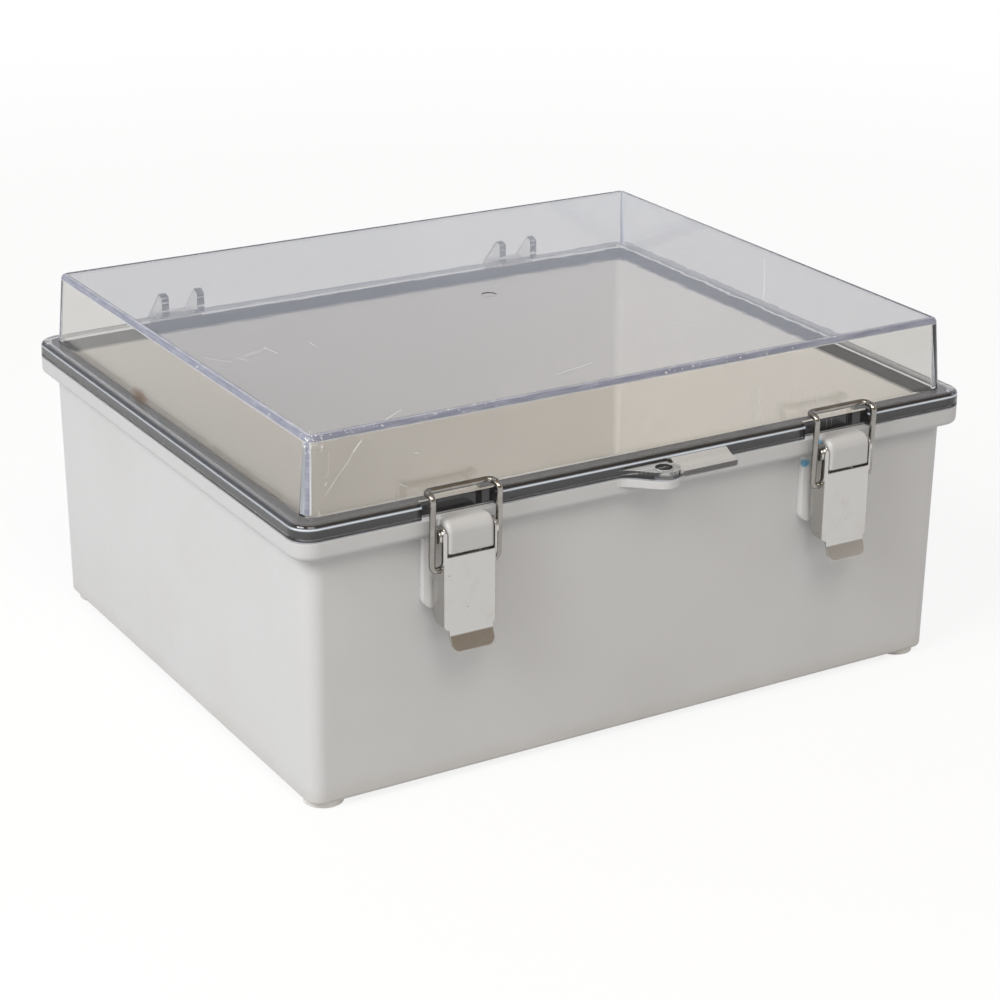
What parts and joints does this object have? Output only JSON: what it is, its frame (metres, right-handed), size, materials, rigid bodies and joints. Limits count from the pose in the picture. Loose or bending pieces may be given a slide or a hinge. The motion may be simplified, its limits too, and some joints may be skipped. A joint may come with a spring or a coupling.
{
  "type": "outdoor plastic enclosure",
  "caption": "Rectangular outdoor enclosure: light grey moulded base, deep hinged clear cover, steel draw latches in front and a padlock lug between them.",
  "frame": {"origin": "midway between the four feet, on the plane of their undersides", "axes": "+X along the latched front to the right, +Y from the latches to the hinges, +Z from the back of the box out through the cover"},
  "size_m": [0.305, 0.2735, 0.1484],
  "materials": {
    "base_plastic": "light grey moulded plastic with a fine satin texture",
    "foot_plastic": "pale grey moulded plastic",
    "latch_plastic": "white moulded plastic, satin",
    "clear_plastic": "clear polycarbonate, polished",
    "gasket": "dark grey foam gasket",
    "lever_steel": "stainless sheet, lightly polished",
    "wire_steel": "bright stainless wire",
    "pin_steel": "stainless steel",
    "brass": "turned brass"
  },
  "bodies": {
    "base": {"base_shell": "base_plastic", "foot_front_left": "foot_plastic", "foot_front_right": "foot_plastic", "foot_rear_left": "foot_plastic", "foot_rear_right": "foot_plastic", "mount_inserts": "brass", "plate_inserts": "brass", "latch_base_left": "latch_plastic", "latch_base_right": "latch_plastic", "latch_screws_left": "pin_steel", "latch_screws_right": "pin_steel", "latch_pin_left": "pin_steel", "latch_pin_right": "pin_steel", "hinge_pin_left": "pin_steel", "hinge_pin_right": "pin_steel"},
    "cover": {"clear_cover": "clear_plastic", "cover_gasket": "gasket"},
    "lever_left": {"latch_lever_left": "lever_steel"},
    "bail_left": {"latch_bail_left": "wire_steel"},
    "lever_right": {"latch_lever_right": "lever_steel"},
    "bail_right": {"latch_bail_right": "wire_steel"}
  },
  "joints": [
    {"name": "cover_hinge", "type": "hinge", "parent": "base", "child": "cover", "pos_m": [0, 0.1314, 0.1135], "axis": [-1, 0, 0], "range_deg": [0, 110]},
    {"name": "lever_left_turn", "type": "hinge", "parent": "base", "child": "lever_left", "pos_m": [-0.0865, -0.1311, 0.1061], "axis": [-1, 0, 0], "range_deg": [-3.5, 90]},
    {"name": "bail_left_swing", "type": "hinge", "parent": "lever_left", "child": "bail_left", "pos_m": [-0.0865, -0.1302, 0.0926], "axis": [-1, 0, 0], "range_deg": [-162, 6.3]},
    {"name": "lever_right_turn", "type": "hinge", "parent": "base", "child": "lever_right", "pos_m": [0.0865, -0.1311, 0.1061], "axis": [-1, 0, 0], "range_deg": [-3.5, 90]},
    {"name": "bail_right_swing", "type": "hinge", "parent": "lever_right", "child": "bail_right", "pos_m": [0.0865, -0.1302, 0.0926], "axis": [-1, 0, 0], "range_deg": [-162, 6.3]}
  ],
  "couplings": [
    {"joint": "bail_left_swing", "follows": "lever_left_turn", "ratio": -1.8},
    {"joint": "bail_right_swing", "follows": "lever_right_turn", "ratio": -1.8}
  ]
}
